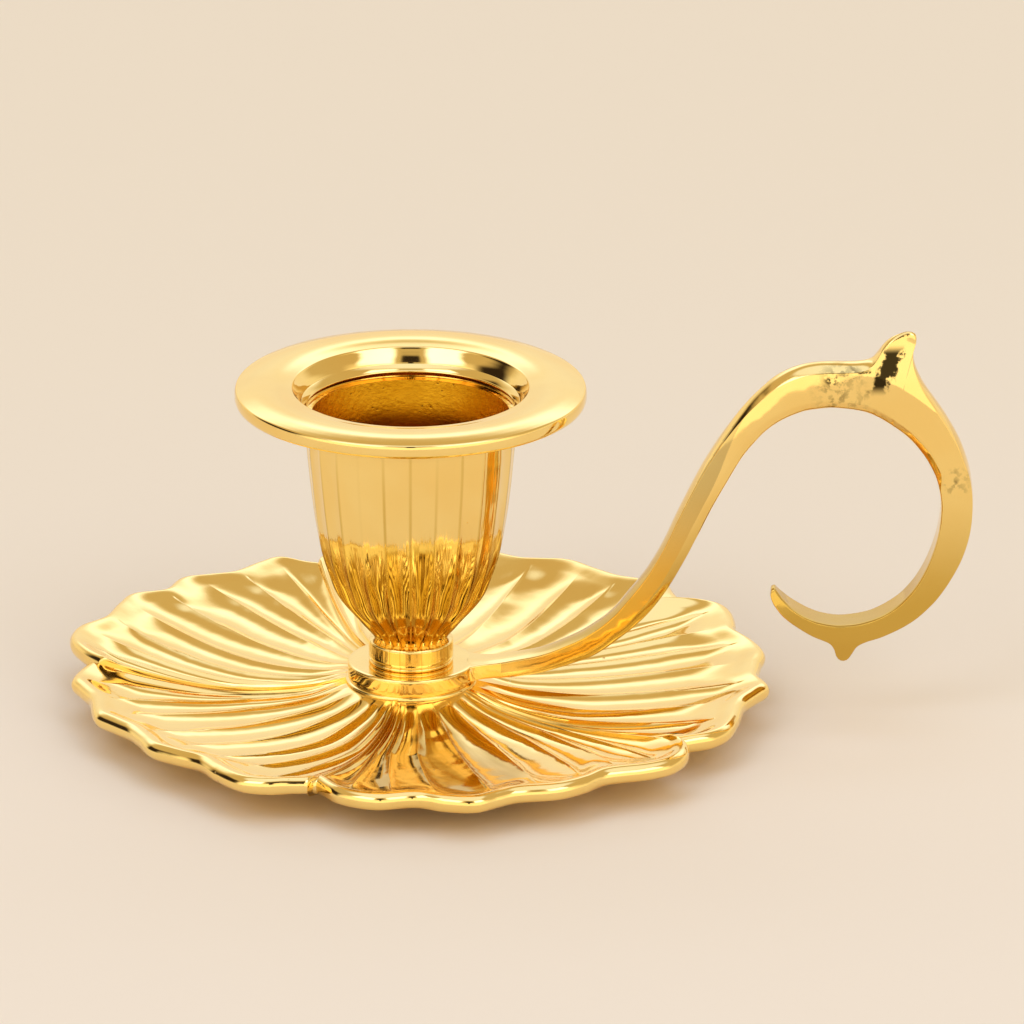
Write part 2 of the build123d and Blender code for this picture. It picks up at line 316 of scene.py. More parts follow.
def cup_tones(grain, base, height, reflection_tone):
    """Streaks down the bell, a painted reflection of the dish in darker gold low on it, and faint
    painted dark lines on the flutes' crests.
    """
    shader = grain.shader
    turn, up = round_axis(shader, grain.place)
    streaks = shader.noise(shader.join(turn * 13.0, up * 70.0))
    depth = up.between(STREAKS_IN, STREAKS_OUT) * 0.5 + 0.3
    # Painted reflection of the dish: darker gold low on the bell, its upper edge jagged by the
    # streaks.
    shade = up.step(*CUP_REFLECTION_IN) * (1.0 - (up + streaks * 0.006).step(*CUP_REFLECTION_OUT))
    # Painted dark reflection lines along the flutes' crests, faint and broken.
    crest = abs((turn * FLUTES_PER_RADIAN + 0.5).fraction() - 0.5)
    faint = shader.noise(shader.join(turn * 5.0, up * 30.0), detail=1.0).step(0.35, 0.6)
    base = shader.mix(shade * 0.95, base, reflection_tone)
    base = shader.mix((1.0 - crest.step(0.015, 0.09)) * (faint * 0.55 + 0.05), base, reflection_tone)
    return base, height + streaks * depth * 1.5


def dish_tones(grain, base, height, reflection_tone):
    """A painted reflection of the cup: a fan of darker gold in front of it, with a wavering edge.
    """
    shader = grain.shader
    out, ahead, _ = shader.split(grain.place)
    turn, _ = round_axis(shader, grain.place)
    # The fan is a painted reflection of the cup's lower flutes.
    across = abs(out - FAN_SHIFT + ahead * FAN_LEAN)
    waver = shader.noise(shader.join(turn * 9.0, ahead * 60.0)) - 0.5
    edge = FAN_WIDTH - ahead * FAN_SPREAD + waver * 0.012
    fan = (1.0 - (across - edge).step(*FAN_EDGE)) * ahead.between(FAN_IN, FAN_OUT)
    return shader.mix(fan * 0.85, base, reflection_tone), height


def handle_tones(grain, base, height, reflection_tone):
    """Painted reflections: darker gold low on the arm, dark specks on bend and loop, and a jagged
    dark band under the spur.
    """
    shader = grain.shader
    out, _, up = shader.split(grain.place)
    # Painted reflection of the dish: darker gold low on the arm.
    low = out.step(*ARM_IN) * (1.0 - up.step(*ARM_OUT))
    # Painted dark reflections, broken into specks, on the bend and the loop.
    reflection_specks = grain.fine.step(0.46, 0.58) * (grain.speck * 0.6 + grain.sparse * 0.8).clamp()
    dark_reflection_spots = (ball(out, up, *BEND_DARK_REFLECTION) + ball(out, up, *LOOP_DARK_REFLECTION)) * reflection_specks
    # Painted dark reflection: a jagged band under the spur.
    jag = out - up * BAND_LEAN + (grain.fine - 0.5) * 0.0035
    band = jag.between(ACROSS_IN, ACROSS_OUT) * up.between(UP_IN, UP_OUT)
    base = shader.mix(((dark_reflection_spots + band) * 0.97).clamp(), base, DARK_REFLECTION_TONE)
    return shader.mix(low * 0.85, base, reflection_tone), height


def polished(name, tint, roughness, pits, ripple, reflection_tone=None, tones=None):
    """Polished gold plate: faint waves and pits of the casting under a mirror finish."""
    material, shader = new_material(name)
    place = shader.place()
    cloud = shader.noise(place, 90.0, 3.0)
    fine = shader.noise(place, 900.0, 4.0, 0.65)
    speck = shader.cells(place, 420.0)
    sparse = shader.noise(place, 260.0, 1.0).step(0.60, 0.68)
    pit = (1.0 - speck.step(0.03, 0.10)) * sparse
    base = shader.mix(cloud.step(0.35, 0.70), tint, toned(tint, 0.98, 0.93, 0.84))
    base = shader.mix(pit * 0.5, base, PIT_TONE)
    rough = roughness + (fine * 0.5 + cloud * 0.5) * roughness * 0.8
    height = shader.noise(place, 240.0) * ripple + fine * ripple * 0.12 - pit * pits
    # The tones paint reflections into the base colour.
    if tones:
        base, height = tones(Grain(shader, place, fine, speck, sparse), base, height, reflection_tone)
    shader.surface(0.16, 0.0004, height, Base_Color=base, Metallic=1.0,
                   Roughness=rough + pit * 0.25)
    return material


def as_cast(name, tint):
    """Unpolished casting: grainy, darker, with specks."""
    material, shader = new_material(name)
    place = shader.place()
    grain = shader.noise(place, 1500.0, 5.0, 0.7)
    cloud = shader.noise(place, 180.0, 3.0)
    speck = 1.0 - shader.cells(place, 700.0).step(0.04, 0.12)
    base = shader.mix(cloud.step(0.3, 0.75), tint, toned(tint, 0.88, 0.80, 0.6))
    base = shader.mix(speck * 0.4, base, PIT_TONE)
    shader.surface(0.25, 0.0003, grain + speck * -0.6, Base_Color=base, Metallic=1.0,
                   Roughness=0.16 + grain * 0.16)
    return material


def plated_steel(name, tint):
    """Zinc plated steel with turning marks."""
    material, shader = new_material(name)
    place = shader.place()
    rings = shader.node("ShaderNodeTexWave", {"wave_type": "RINGS", "rings_direction": "Z"},
                        place, 900.0, 1.5, 2.0)
    cloud = shader.noise(place, 700.0, 3.0)
    shader.surface(0.2, 0.0002, rings, Base_Color=shader.mix(cloud, tint, toned(tint, 0.8)),
                   Metallic=1.0, Roughness=0.28 + cloud * 0.15)
    return material


def felted(name, tint):
    """Pressed felt."""
    material, shader = new_material(name)
    place = shader.place()
    fibre = shader.noise(place, 2600.0, 6.0, 0.8)
    cloud = shader.noise(place, 300.0, 3.0)
    base = shader.mix(fibre * 0.7 + cloud * 0.3, tint, toned(tint, 2.2))
    shader.surface(0.8, 0.0004, fibre, Base_Color=base, Roughness=0.95, Sheen_Weight=0.4)
    return material


# Curves and meshes

def smooth_step(low, high, value):
    t = min(1.0, max(0.0, (value - low) / (high - low)))
    return t * t * (3.0 - 2.0 * t)


def between(rise, fall, value):
    """One between two smooth steps, up over the first pair and down over the second."""
    return smooth_step(*rise, value) * (1.0 - smooth_step(*fall, value))


def smooth_row(marks, rows, target):
    """Row at a mark of a smooth curve through marked rows, and its place among them."""
    last = len(marks) - 1
    i = 0
    while i < last - 1 and marks[i + 1] < target:
        i += 1
    near = [min(max(0, k), last) for k in range(i - 1, i + 3)]
    m0, m1, m2, m3 = (marks[k] for k in near)
    t = (target - m1) / (m2 - m1)
    row = []
    for a, b, c, d in zip(*(rows[k] for k in near)):
        left = (c - a) / (m2 - m0) * (m2 - m1)
        right = (d - b) / (m3 - m1) * (m2 - m1)
        row.append((2 * t ** 3 - 3 * t ** 2 + 1) * b + (t ** 3 - 2 * t ** 2 + t) * left
                   + (3 * t ** 2 - 2 * t ** 3) * c + (t ** 3 - t ** 2) * right)
    return row, i + t


def curve_through(points, count, start=0):
    """Points of a smooth curve at even steps, from a step on, spaced by chord length."""
    marks = [0.0]
    for a, b in zip(points, points[1:]):
        marks.append(marks[-1] + math.dist(a, b))
    return [smooth_row(marks, points, i / count * marks[-1])[0]
            for i in range(start, count + 1)]


def looked_up(table, place):
    """Values between the rows of a table that starts each row with its place."""
    for (a, *before), (b, *after) in zip(table, table[1:]):
        if place <= b:
            t = (place - a) / (b - a)
            return [v + (w - v) * t for v, w in zip(before, after)]
    return list(table[-1][1:])


def along(profile, step):
    """A profile's points with more added on its long straight runs."""
    out = [profile[0]]
    for a, b in zip(profile, profile[1:]):
        parts = max(1, int(math.dist(a, b) / step))
        for i in range(1, parts + 1):
            out.append(tuple(v + (w - v) * i / parts for v, w in zip(a, b)))
    return out


def rounded(points, times=2):
    """Corner cutting of an open line, its ends kept."""
    for _ in range(times):
        out = [points[0]]
        for a, b in zip(points, points[1:]):
            out.append(tuple(x * 0.75 + y * 0.25 for x, y in zip(a, b)))
            out.append(tuple(x * 0.25 + y * 0.75 for x, y in zip(a, b)))
        out.append(points[-1])
        points = out
    return points


def grid(rows, numbers=0, ends=(False, False)):
    """Shell through closed rows of points, its first and last row capped if asked."""
    count = len(rows[0])
    points = [p for row in rows for p in row]
    faces = []
    for i in range(len(rows) - 1):
        for j in range(count):
            k = (j + 1) % count
            faces.append((i * count + j, i * count + k, (i + 1) * count + k, (i + 1) * count + j))
    if ends[0]:
        faces.append(tuple(reversed(range(count))))
    if ends[1]:
        faces.append(tuple(range((len(rows) - 1) * count, len(rows) * count)))
    return points, faces, numbers


def lathe(profile, count, number=0, ends=(False, False)):
    """Turned shell from a profile of radius and height, in metres."""
    turns = [2 * math.pi * j / count for j in range(count)]
    rows = [[(r * math.cos(a), r * math.sin(a), z) for a in turns] for r, z in profile]
    return grid(rows, number, ends)


def turned(profile, base, count, number=0, ends=(False, False)):
    """Turned shell from a profile in millimetres over a base height in metres."""
    return lathe([(r * MM, base + z * MM) for r, z in profile], count, number, ends)


def make_piece(name, shells, materials, body, node):
    """One object from shells of vertices, faces and the faces' material numbers."""
    vertices, faces, numbers = [], [], []
    for points, polygons, number in shells:
        start = len(vertices)
        vertices.extend(points)
        faces.extend([tuple(start + i for i in polygon) for polygon in polygons])
        numbers.extend(number if isinstance(number, list) else [number] * len(polygons))
    mesh = bpy.data.meshes.new(name)
    mesh.from_pydata(vertices, [], faces)
    mesh.validate()
    mesh.polygons.foreach_set("use_smooth", [True] * len(mesh.polygons))
    mesh.polygons.foreach_set("material_index", numbers[:len(mesh.polygons)])
    for material in materials:
        mesh.materials.append(material)
    mesh.update()
    piece = bpy.data.objects.new(name, mesh)
    bpy.context.scene.collection.objects.link(piece)
    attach(piece, body)
    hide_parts(node)


# Dish

# Each petal: angles along its rim in degrees, and the outline's radius there in millimetres.
PETAL_RIMS = (
    ((324.0, 41.2), (327.4, 42.6), (330.5, 44.0), (334.5, 44.6), (340.2, 43.9), (346.9, 43.1),
     (352.5, 44.2), (355.3, 45.1), (359.7, 43.7), (365.4, 44.1), (370.0, 45.2), (374.7, 44.9),
     (380.1, 44.1), (384.5, 45.3), (388.1, 46.4), (391.3, 46.8), (394.1, 45.8), (396.6, 43.9),
     (398.0, 42.4)),
    ((38.0, 43.4), (41.6, 44.5), (46.6, 46.3), (51.5, 45.1), (54.0, 44.7), (58.9, 45.3),
     (64.5, 46.5), (68.7, 45.5), (71.5, 45.0), (76.0, 46.0), (80.0, 47.1), (84.0, 46.1),
     (88.0, 45.1), (93.0, 46.3), (97.2, 47.1), (101.3, 46.1), (104.9, 45.2), (106.5, 43.6)),
    ((106.5, 42.6), (108.6, 43.6), (112.1, 46.2), (116.0, 45.4), (121.5, 43.9), (126.0, 44.8),
     (130.5, 45.8), (136.0, 44.1), (141.5, 46.1), (145.6, 45.4), (152.5, 44.2), (158.7, 45.5),
     (162.9, 45.3), (166.1, 44.4), (168.6, 43.1), (171.5, 41.4), (174.0, 39.6)),
    ((174.0, 41.0), (178.6, 42.2), (181.7, 42.6), (184.8, 41.9), (190.0, 41.1), (198.9, 42.0),
     (203.0, 41.2), (207.5, 40.5), (212.1, 40.8), (217.4, 41.6), (222.3, 41.1), (227.9, 40.6),
     (233.9, 42.1), (240.5, 43.5), (245.0, 42.9), (247.9, 41.6), (251.3, 40.5)),
    ((251.3, 40.2), (252.6, 40.8), (256.9, 43.2), (264.1, 44.7), (270.7, 43.7), (275.7, 45.3),
     (280.9, 46.2), (284.5, 45.0), (288.0, 44.1), (295.0, 44.9), (300.0, 44.3), (304.7, 43.3),
     (311.5, 45.1), (315.8, 45.7), (319.8, 44.9), (322.5, 43.3), (323.4, 42.2), (324.0, 40.6)),
)
PETALS = len(PETAL_RIMS)
# How far each petal's end turns on towards the hub, in degrees.
SEAM_TURNS = (8.0, 6.0, 7.0, 9.0, 6.0)
# Places of the ridges, and the width of a usual channel, as shares of a petal.
RIDGES = (0.0, 0.10, 0.215, 0.33, 0.45, 0.56, 0.67, 0.77, 0.875, 1.0)
USUAL_CHANNEL = 0.112
# How a petal stands over the table along its rim, in seam steps: start, slope and bend.
LIFT = (-0.36, 0.15, 0.85)
# The rim stands this much higher at the back than at the side.
BACK_RISE = 0.37 * MM
# The outline was read from 19.9 degrees up, where each rise looks like a longer run.
RUN_PER_RISE = 2.76
# Share of a petal from which its end is rounded down, and how far.
END_ROUND, END_DROP = 0.992, 0.30 * MM
PAD_DROP = 0.45 * MM
SEAM_GAP = 0.12 * MM
POCKET_DEPTH = 0.30 * MM
# Height of the bead inside the rim at the sides, and how much less it is at the back.
BEAD, BEAD_LESS = 0.30 * MM, 0.20 * MM
# Shares of the way out where channels and pockets start and end, and where the bead rises.
CHANNELS_IN, CHANNELS_OUT = (-0.02, 0.16), (0.80, 0.95)
POCKETS_IN, POCKETS_OUT = (0.66, 0.80), (0.86, 0.97)
BEAD_IN = (0.93, 0.99)
COLUMNS_PER_CHANNEL = 13
END_COLUMNS = (0.993, 0.9955, 0.9975, 0.999, 1.0)
TOP_ROWS = 110
# Degrees round the rolled rim, and shares of the way under to the foot.
ROLL_ROWS = range(9, 171, 9)
UNDER_ROWS = (0.0, 0.1, 0.25, 0.45, 0.7, 1.0)
ROLL_END = math.radians(168)


class DishShape:
    """The petal dish as a height over the plan, in metres."""

    def __init__(self, sizes):
        self.s = sizes
        self.pad_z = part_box("handle")[0][2]

    def ends(self, petal, inward=0.0):
        """Angles in degrees at which a petal starts and ends, at a share of the way in."""
        table = PETAL_RIMS[petal]
        return (table[0][0] + SEAM_TURNS[petal - 1] * inward,
                table[-1][0] + SEAM_TURNS[petal] * inward)

    def angle(self, petal, u, r, outer):
        """Angle in radians of a share of a petal at a radius."""
        start, end = self.ends(petal, 1.0 - r / self.s.radius)
        inward = min(max(0.0, 1.0 - r / outer), 0.5)
        u -= self.s.spread * inward * math.sin(2 * math.pi * u)
        return math.radians(start + (end - start) * u)

    def lift(self, u):
        """How far a petal stands over or under its mean height."""
        start, slope, bend = LIFT
        return self.s.seam_step * (slope * u + bend * u * u + start)

    def rim(self, petal, u):
        """Outermost radius, height of the top and how far back it is, on a petal's rim."""
        start, end = self.ends(petal)
        turn = start + (end - start) * u
        back = math.sin(math.radians(turn))
        top = self.s.rim_height + BACK_RISE * back + self.lift(u)
        table = PETAL_RIMS[petal]
        radius = smooth_row([angle for angle, _ in table], table, turn)[0][1] * MM
        return radius - RUN_PER_RISE * (top - self.s.rim_height) * back, top, back

    def bowl(self, r, edge, top):
        """Height of the plain bowl: up to the pad inside, up to the rim outside."""
        s = self.s
        if r > s.floor_radius:
            t = (r - s.floor_radius) / (edge - s.floor_radius)
            return s.floor_height + (top - s.floor_height) * t * t * (1.6 - 0.6 * t)
        t = (s.floor_radius - r) / (s.floor_radius - s.pad_radius)
        return s.floor_height + (self.pad_z - PAD_DROP - s.floor_height) * t * t

    def channel(self, u):
        """Which channel a share lies in, where across it, and how wide it is."""
        for i, (a, b) in enumerate(zip(RIDGES, RIDGES[1:])):
            if u <= b:
                return i, (u - a) / (b - a), (b - a) / USUAL_CHANNEL
        return len(RIDGES) - 2, 1.0, 1.0

    def height(self, u, r, rim):
        """Height of the upper face, with channels, pockets and the bead inside the rim."""
        s = self.s
        outer, top, back = rim
        edge = outer - s.rim_round
        lift = self.lift(u)
        reach = (r - s.pad_radius) / (edge - s.pad_radius)
        number, x, width = self.channel(u)
        start, end = CHANNELS_OUT
        fade = between(CHANNELS_IN, (start + 0.05 * math.cos(math.pi * (number + x)), end), reach)
        hollow = 1.0 - abs(2.0 * x - 1.0) ** 2.6
        depth = s.channel_depth * (0.55 + 0.45 * width) * min(1.0, 0.35 + r / s.floor_radius)
        pocket = between(POCKETS_IN, POCKETS_OUT, reach) * x ** 3 * (number % 2)
        bead = BEAD - BEAD_LESS * back
        z = self.bowl(r, edge, top - lift - bead) + lift * (r / edge) ** 0.35
        z += bead * smooth_step(*BEAD_IN, reach) - depth * fade * hollow - POCKET_DEPTH * pocket
        if u > END_ROUND:
            q = min(1.0, (u - END_ROUND) / (1.0 - END_ROUND))
            z -= END_DROP * (1.0 - math.sqrt(1.0 - q * q))
        return z

    def columns(self):
        """Petal, share across it and share of the drop to the next petal, for each column."""
        out = []
        for petal in range(PETALS):
            for a, b in zip(RIDGES, RIDGES[1:]):
                for i in range(COLUMNS_PER_CHANNEL):
                    turn = 2 * math.pi * i / COLUMNS_PER_CHANNEL
                    t = (turn - 0.85 * math.sin(turn)) / (2 * math.pi)
                    out.append((petal, a + (b - a) * t, 0.0))
            out += [(petal, u, 0.0) for u in END_COLUMNS]
            out += [(petal, 1.0, drop) for drop in (0.5, 1.0)]
        return sorted(out, key=lambda column: (column[0], column[1] + column[2]))


def dish_rows(shape):
    """Rows of the dish from the pad, over the rim and back under to the foot."""
    s = shape.s
    kinds = []
    for i in range(TOP_ROWS + 1):
        t = i / TOP_ROWS
        kinds.append(("top", min(1.0, t + 0.12 * math.sin(math.pi * t) * t)))
    kinds += [("roll", a) for a in ROLL_ROWS]
    kinds += [("under", t) for t in UNDER_ROWS]
    columns = [(*column, shape.rim(*column[:2])) for column in shape.columns()]
    starts = [shape.rim(petal, 0.0) for petal in range(PETALS)]
    inner = s.pad_radius * 0.8
    floor = s.floor_height - s.thickness
    rows = []
    for kind, t in kinds:
        row = []
        for petal, u, drop, rim in columns:
            edge = rim[0] - s.rim_round
            r = inner + (edge - inner) * t if kind == "top" else edge
            own = z = shape.height(u, r, rim)
            if drop:
                following = starts[(petal + 1) % PETALS]
                low = shape.height(0.0, min(r, following[0] - s.rim_round), following)
                z += (low - SEAM_GAP - z) * drop
            if kind != "top":
                a = math.radians(t) if kind == "roll" else ROLL_END
                r = edge + s.rim_round * math.sin(a)
                z += (own - 2.0 * s.rim_round - z) * (1.0 - math.cos(a)) / 2.0
                if kind == "under":
                    r += (s.foot_radius + s.thickness - r) * t
                    z += (floor - z) * (1.0 - (1.0 - t) ** 2)
                z = max(z, floor)
            angle = shape.angle(petal, u, min(r, rim[0]), rim[0])
            x, y = r * math.cos(angle), r * math.sin(angle)
            if kind == "top":
                spot = Vector((x, y, 0.0)) / (5.0 * MM)
                z += (0.03 * noise.noise(spot) + 0.012 * noise.noise(spot * 3.1)) * MM
            row.append((x, y, z))
        rows.append(row)
    return rows


class DishOperator(bpy.types.Operator):
    """Build the petal dish over its solid"""
    bl_idname = "chamberstick.dish"
    bl_label = "Petal dish"

    def execute(self, context):
        sizes = context.scene.chamberstick_dish
        finish = context.scene.chamberstick_finish
        gold = polished("dish gold", tuple(finish.gold), finish.polish, pits=0.25, ripple=0.4,
                        reflection_tone=tuple(finish.deep_gold), tones=dish_tones)
        shape = DishShape(sizes)
        foot, pad, top = sizes.foot_radius, sizes.pad_radius, shape.pad_z
        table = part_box("dish")[0][2]
        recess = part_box("plain_washer")[1][2]
        foot_top = (foot + sizes.thickness + 0.01 * MM, sizes.floor_height - sizes.thickness)
        screw, bore, meet = 2.2 * MM, 5.0 * MM, 3.0 * MM
        shells = [
            grid(dish_rows(shape)),
            lathe([foot_top, (foot, table), (bore, table)], 160),
            lathe([(pad * 0.9, top - 1.2 * MM), (pad, top - 1.0 * MM), (pad, top - 0.1 * MM),
                   (pad - 0.1 * MM, top), (meet, top)], 160),
            lathe([(bore, table), (bore, recess), (screw, recess), (screw, top), (meet, top)], 96),
        ]
        make_piece("petal_dish", shells, [gold], "base", "dish")
        return {"FINISHED"}


# Handle

# Outer edge and inner edge of the arm and loop in millimetres: across, and up from the table.
RIBS = (
    (7.0, 7.8, 7.5, 5.9), (10.4, 8.0, 10.4, 5.9), (13.3, 8.5, 13.3, 6.1), (16.2, 9.1, 16.4, 6.6),
    (19.0, 10.2, 19.6, 7.6), (21.9, 11.7, 22.9, 8.9), (24.8, 13.9, 26.5, 11.5),
    (27.2, 16.7, 29.4, 14.2), (29.5, 19.8, 31.9, 17.5), (31.4, 23.2, 34.0, 21.2),
    (33.1, 27.0, 35.9, 25.0), (34.9, 30.8, 37.9, 29.1), (36.6, 34.1, 39.7, 32.4),
    (38.4, 37.1, 41.3, 35.2), (40.3, 39.9, 42.9, 37.3), (42.0, 42.1, 44.4, 38.9),
    (43.7, 43.9, 45.9, 40.0), (45.4, 45.4, 47.4, 40.8), (47.4, 46.5, 49.0, 41.4),
    (49.3, 47.1, 50.5, 41.7), (51.5, 47.4, 52.2, 41.87), (54.3, 47.4, 54.2, 41.77),
    (56.5, 47.5, 56.0, 41.5), (57.6, 47.9, 56.8, 41.3), (58.3, 48.7, 57.2, 41.15),
    (58.9, 49.6, 57.6, 41.0), (59.8, 50.5, 58.0, 40.8), (61.0, 51.1, 58.5, 40.55),
    (62.1, 51.4, 59.0, 40.25), (62.9, 51.1, 59.4, 40.0), (63.1, 50.3, 59.8, 39.75),
    (62.8, 49.2, 60.2, 39.45), (62.75, 47.9, 60.7, 39.1), (63.2, 46.3, 61.3, 38.65),
    (64.1, 44.4, 62.2, 37.85), (65.5, 42.3, 63.2, 36.75), (67.0, 40.0, 64.2, 35.4),
    (68.6, 37.0, 65.1, 33.8), (69.6, 34.1, 65.75, 32.2), (70.1, 31.6, 66.1, 30.6),
    (70.27, 28.9, 66.25, 28.8), (70.0, 25.6, 66.1, 26.5), (69.1, 22.3, 65.6, 23.9),
    (67.6, 19.2, 64.6, 21.0), (65.8, 16.5, 63.3, 18.5), (64.3, 14.9, 62.1, 16.9),
    (62.8, 13.6, 60.9, 15.7), (61.0, 12.5, 59.4, 14.65), (58.9, 11.5, 57.8, 13.85),
    (56.9, 10.8, 56.4, 13.42), (55.8, 10.1, 55.4, 13.22), (55.15, 9.0, 54.8, 13.14),
    (54.6, 8.2, 54.35, 13.1), (53.9, 8.05, 53.9, 13.08), (53.3, 8.6, 53.5, 13.08),
    (52.95, 9.8, 53.1, 13.1), (52.4, 10.6, 52.6, 13.16), (51.5, 11.05, 51.9, 13.28),
    (50.1, 11.7, 50.8, 13.55), (48.3, 12.8, 49.2, 14.3), (46.6, 14.1, 47.6, 15.35),
    (45.4, 15.5, 46.5, 16.4), (44.95, 16.5, 45.95, 17.05), (45.0, 17.2, 45.65, 17.45),
)
# Row of RIBS, height of the body without spur or nub, inner bevel, outer bevel, lean of the face.
SECTIONS = (
    (0, 9.0, 0.10, 0.12, 0.03), (3, 9.0, 0.50, 0.25, 0.08), (8, 9.0, 0.90, 0.30, 0.12),
    (13, 9.0, 1.0, 0.40, 0.16), (16, 9.0, 1.1, 0.95, 0.25), (20, 5.7, 1.1, 1.0, 0.20),
    (24, 5.8, 1.05, 0.55, 0.10), (35, 5.8, 1.0, 0.45, 0.10), (36, 9.0, 1.0, 0.45, 0.10),
    (37.6, 9.0, 0.9, 0.40, 0.07), (38.7, 9.0, 0.20, 0.14, 0.03), (48, 9.0, 0.16, 0.12, 0.03),
    (49, 2.65, 0.16, 0.12, 0.03), (56, 2.45, 0.16, 0.12, 0.03), (57, 9.0, 0.16, 0.12, 0.03),
    (63, 9.0, 0.16, 0.12, 0.03),
)
LEAST_RUN = 0.12
# Parts of the way along the arm with sections close together, and the two steps.
CLOSE_PARTS = ((0.44, 0.58), (0.80, 0.90), (0.96, 1.0))
CLOSE_STEP, PLAIN_STEP = 0.0011, 0.0024
# Where the arm widens from the neck to the loop, and the rows over which the end narrows.
WIDENS = (12.0, 38.0)
NARROWS = (59.0, 63.0)
# The arm flares into the eye plate: start, added width and how fast it is gone.
FLARE_START, FLARE, FLARE_RUN = 7.0, 1.3, 1.4
# Last sections of the loop's end: size, and how far each stands on from the end.
END_CAPS = ((0.85, 0.12), (0.6, 0.22), (0.3, 0.28))
# The darker band, a painted reflection on the arm's sides: between these distances from the cup,
# and up to this share of the face.
BAND_FROM, BAND_TO, BAND_TOP = 11.0 * MM, 42.0 * MM, 0.93


def half_section(tall, full, wide, low, drop, lean):
    """Half of a section: up from the inner edge and out from the middle plane."""
    near = 0.05
    inset = 0.18 + 0.42 * low
    low, drop = min(low, 0.3 * tall), min(drop, 0.25 * tall)
    shoulder = wide * (1.0 - lean)
    level, end = full - drop, tall - drop

    def width(height):
        if height <= level:
            t = (height - low) / (level - low)
            return wide + (shoulder - wide) * (t - 0.16 * math.sin(math.pi * t))
        return max(min(0.45, shoulder), shoulder - 0.40 * (height - level) ** 0.85)

    points = [(0.0, 0.0), (0.0, (wide - inset) * 0.6), (0.0, wide - inset - 0.15),
              (0.03, wide - inset - 0.02), (low - near, wide - 0.02)]
    steps = 15
    for i in range(steps):
        height = low + near + (end - 0.06 - low) * i / steps
        points.append((height, width(height)))
    top = width(end)
    points += [(end - near, top + 0.01), (end + 0.06, top - 0.03),
               (tall - drop * 0.45, top * 0.72), (tall - drop * 0.12, top * 0.38), (tall, 0.0)]
    return rounded(points)


def centre(row):
    return Vector([sum(p[k] for p in row) / len(row) for k in range(3)])


def arm_rows(sizes):
    """Closed sections across the arm and the loop."""
    marks = [0.0]
    for a, b in zip(RIBS, RIBS[1:]):
        run = 0.5 * (math.dist(a[:2], b[:2]) + math.dist(a[2:], b[2:]))
        marks.append(marks[-1] + max(LEAST_RUN, run))
    places = []
    t = 0.0
    while t < 1.0:
        places.append(t)
        t += CLOSE_STEP if any(a < t < b for a, b in CLOSE_PARTS) else PLAIN_STEP
    rows = []
    for place in places + [1.0]:
        rib, number = smooth_row(marks, RIBS, place * marks[-1])
        outer, inner = Vector(rib[:2]), Vector(rib[2:])
        tall = (outer - inner).length
        up = (outer - inner) / tall
        full, low, drop, lean = looked_up(SECTIONS, number)
        widened = (sizes.width - sizes.neck_width) * smooth_step(*WIDENS, outer.x)
        wide = (sizes.neck_width + widened) / 2 / MM
        wide += FLARE * math.exp(-max(0.0, outer.x - FLARE_START) / FLARE_RUN)
        wide *= 1.0 - 0.55 * smooth_step(*NARROWS, number)
        half = half_section(tall, min(tall, full), wide, low, drop, lean)
        row = []
        for high, across in half + [(h, -w) for h, w in reversed(half[1:-1])]:
            point = inner + up * high
            lump = 0.02 * noise.noise(Vector((point.x, across, point.y)) * 0.6)
            row.append((point.x * MM, (-across + lump) * MM, (point.y + lump) * MM))
        rows.append(row)
    tip, middle = rows[-1], centre(rows[-1])
    ahead = (middle - centre(rows[-6])).normalized()
    for size, push in END_CAPS:
        rows.append([tuple(middle + (Vector(p) - middle) * size + ahead * push * MM) for p in tip])
    return rows


def arm_bands(rows):
    """Material of each face of the arm: a darker band of painted reflection on the outer part of
    its sides.
    """
    count = len(rows[0])
    numbers = []
    for row in rows[:-1]:
        inner, outer = Vector(row[0]), Vector(row[count // 2])
        up = (outer - inner) / (outer - inner).length_squared
        shares = [(Vector(point) - inner).dot(up) for point in row]
        reach = 0.36 + 0.5 * smooth_step(35.0 * MM, BAND_TO, outer.x)
        along_arm = BAND_FROM < outer.x < BAND_TO
        for j in range(count):
            middle = (shares[j] + shares[(j + 1) % count]) / 2
            numbers.append(1 if along_arm and reach < middle < BAND_TOP else 0)
    return numbers + [0, 0]


class HandleOperator(bpy.types.Operator):
    """Build the eye plate, arm and finger loop over their solid"""
    bl_idname = "chamberstick.handle"
    bl_label = "Arm and loop"

    def execute(self, context):
        sizes = context.scene.chamberstick_handle
        finish = context.scene.chamberstick_finish
        # The arm's second gold is its band of painted reflection.
        golds = [polished(name, tuple(tint), finish.polish * 1.2, pits=0.5, ripple=0.6,
                          reflection_tone=tuple(deep), tones=handle_tones)
                 for name, tint, deep in (("handle gold", finish.gold, finish.deep_gold),
                                          ("arm gold", finish.arm_gold, finish.arm_deep))]
        rows = arm_rows(sizes)
        low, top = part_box("handle")[0][2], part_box("candle_cup")[0][2]
        r, e, screw = sizes.plate_radius, sizes.plate_edge, 2.2 * MM
        plate = [(screw, low), (r - e, low), (r - 0.3 * e, low + 0.3 * e), (r, low + e),
                 (r + 0.03 * MM, (low + top) / 2), (r, top - e), (r - 0.3 * e, top - 0.3 * e),
                 (r - e, top), (screw, top), (screw, low)]
        shells = [grid(rows, arm_bands(rows), (True, True)), lathe(along(plate, 0.4 * MM), 200)]
        make_piece("arm_and_loop", shells, golds, "base", "handle")
        return {"FINISHED"}


# Candle cup

